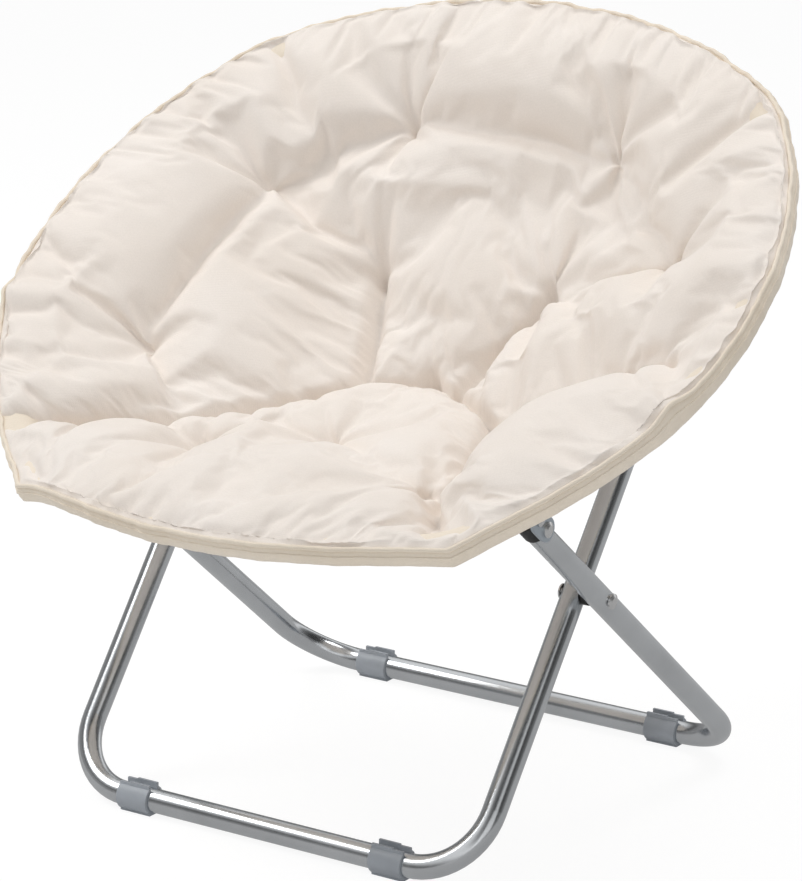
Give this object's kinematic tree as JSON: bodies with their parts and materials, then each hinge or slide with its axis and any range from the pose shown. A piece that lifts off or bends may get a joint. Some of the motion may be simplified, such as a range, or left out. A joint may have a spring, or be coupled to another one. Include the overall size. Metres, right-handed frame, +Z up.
{
  "type": "folding saucer chair",
  "caption": "Folding saucer chair with a quilted cream bowl seat on a tube hoop, two crossed satin steel leg frames and grey plastic feet.",
  "frame": {"origin": "on the floor, below the middle of the chair's overall width and length", "axes": "+Z up; the chair faces -Y and its front bar lies at -Y; +X is the side that is nearer the camera in the picture"},
  "size_m": [0.7496, 0.6135, 0.6797],
  "materials": {
    "satin_tube": "satin",
    "hoop_steel": "satin",
    "zinc_plate": "satin",
    "rivet_steel": "satin",
    "grey_plastic": "matte",
    "black_plastic": "matte",
    "cream_cloth": "matte",
    "beige_trim": "matte"
  },
  "bodies": {
    "front_frame": {"front_leg_tube": "satin_tube", "front_leg_cap_left": "black_plastic", "front_leg_cap_right": "black_plastic", "front_foot_left": "grey_plastic", "front_foot_right": "grey_plastic", "cross_rivet_left": "rivet_steel", "cross_rivet_right": "rivet_steel", "cross_spacer_left": "black_plastic", "cross_spacer_right": "black_plastic", "back_rivet_left": "rivet_steel", "back_rivet_right": "rivet_steel"},
    "rear_frame": {"rear_leg_tube": "satin_tube", "rear_leg_cap_left": "black_plastic", "rear_leg_cap_right": "black_plastic", "rear_foot_left": "grey_plastic", "rear_foot_right": "grey_plastic"},
    "back_hoop": {"back_hoop_tube": "hoop_steel", "hinge_fork_left": "zinc_plate", "hinge_fork_right": "zinc_plate", "back_bracket_left": "zinc_plate", "back_bracket_right": "zinc_plate", "back_sleeve": "beige_trim", "back_piping": "beige_trim", "back_cushion": "cream_cloth"},
    "seat_hoop": {"seat_hoop_tube": "hoop_steel", "hinge_tongue_left": "zinc_plate", "hinge_tongue_right": "zinc_plate", "hinge_pin_left": "rivet_steel", "hinge_pin_right": "rivet_steel", "seat_bracket_left": "zinc_plate", "seat_bracket_right": "zinc_plate", "seat_bracket_rivet_left": "rivet_steel", "seat_bracket_rivet_right": "rivet_steel", "seat_stop_rivet_left": "rivet_steel", "seat_stop_rivet_right": "rivet_steel", "seat_sleeve": "beige_trim", "seat_piping": "beige_trim", "seat_cushion": "cream_cloth"}
  },
  "joints": [
    {"name": "leg_fold", "type": "hinge", "parent": "front_frame", "child": "rear_frame", "pos_m": [0, -0.01651, 0.22647], "axis": [-1, 0, 0], "range_deg": [0, 60]},
    {"name": "back_pivot", "type": "hinge", "parent": "front_frame", "child": "back_hoop", "pos_m": [0, 0.27614, 0.60239], "axis": [1, 0, 0], "range_deg": [0, 31.15], "deforming": ["back_cushion"]},
    {"name": "seat_hinge", "type": "hinge", "parent": "back_hoop", "child": "seat_hoop", "pos_m": [0, -0.08537, 0.42849], "axis": [-1, 0, 0], "range_deg": [0, 164.35], "deforming": ["seat_cushion"]}
  ],
  "couplings": [
    {"joint": "back_pivot", "follows": "leg_fold", "ratio": 0.51897},
    {"joint": "seat_hinge", "follows": "leg_fold", "ratio": 2.739}
  ]
}
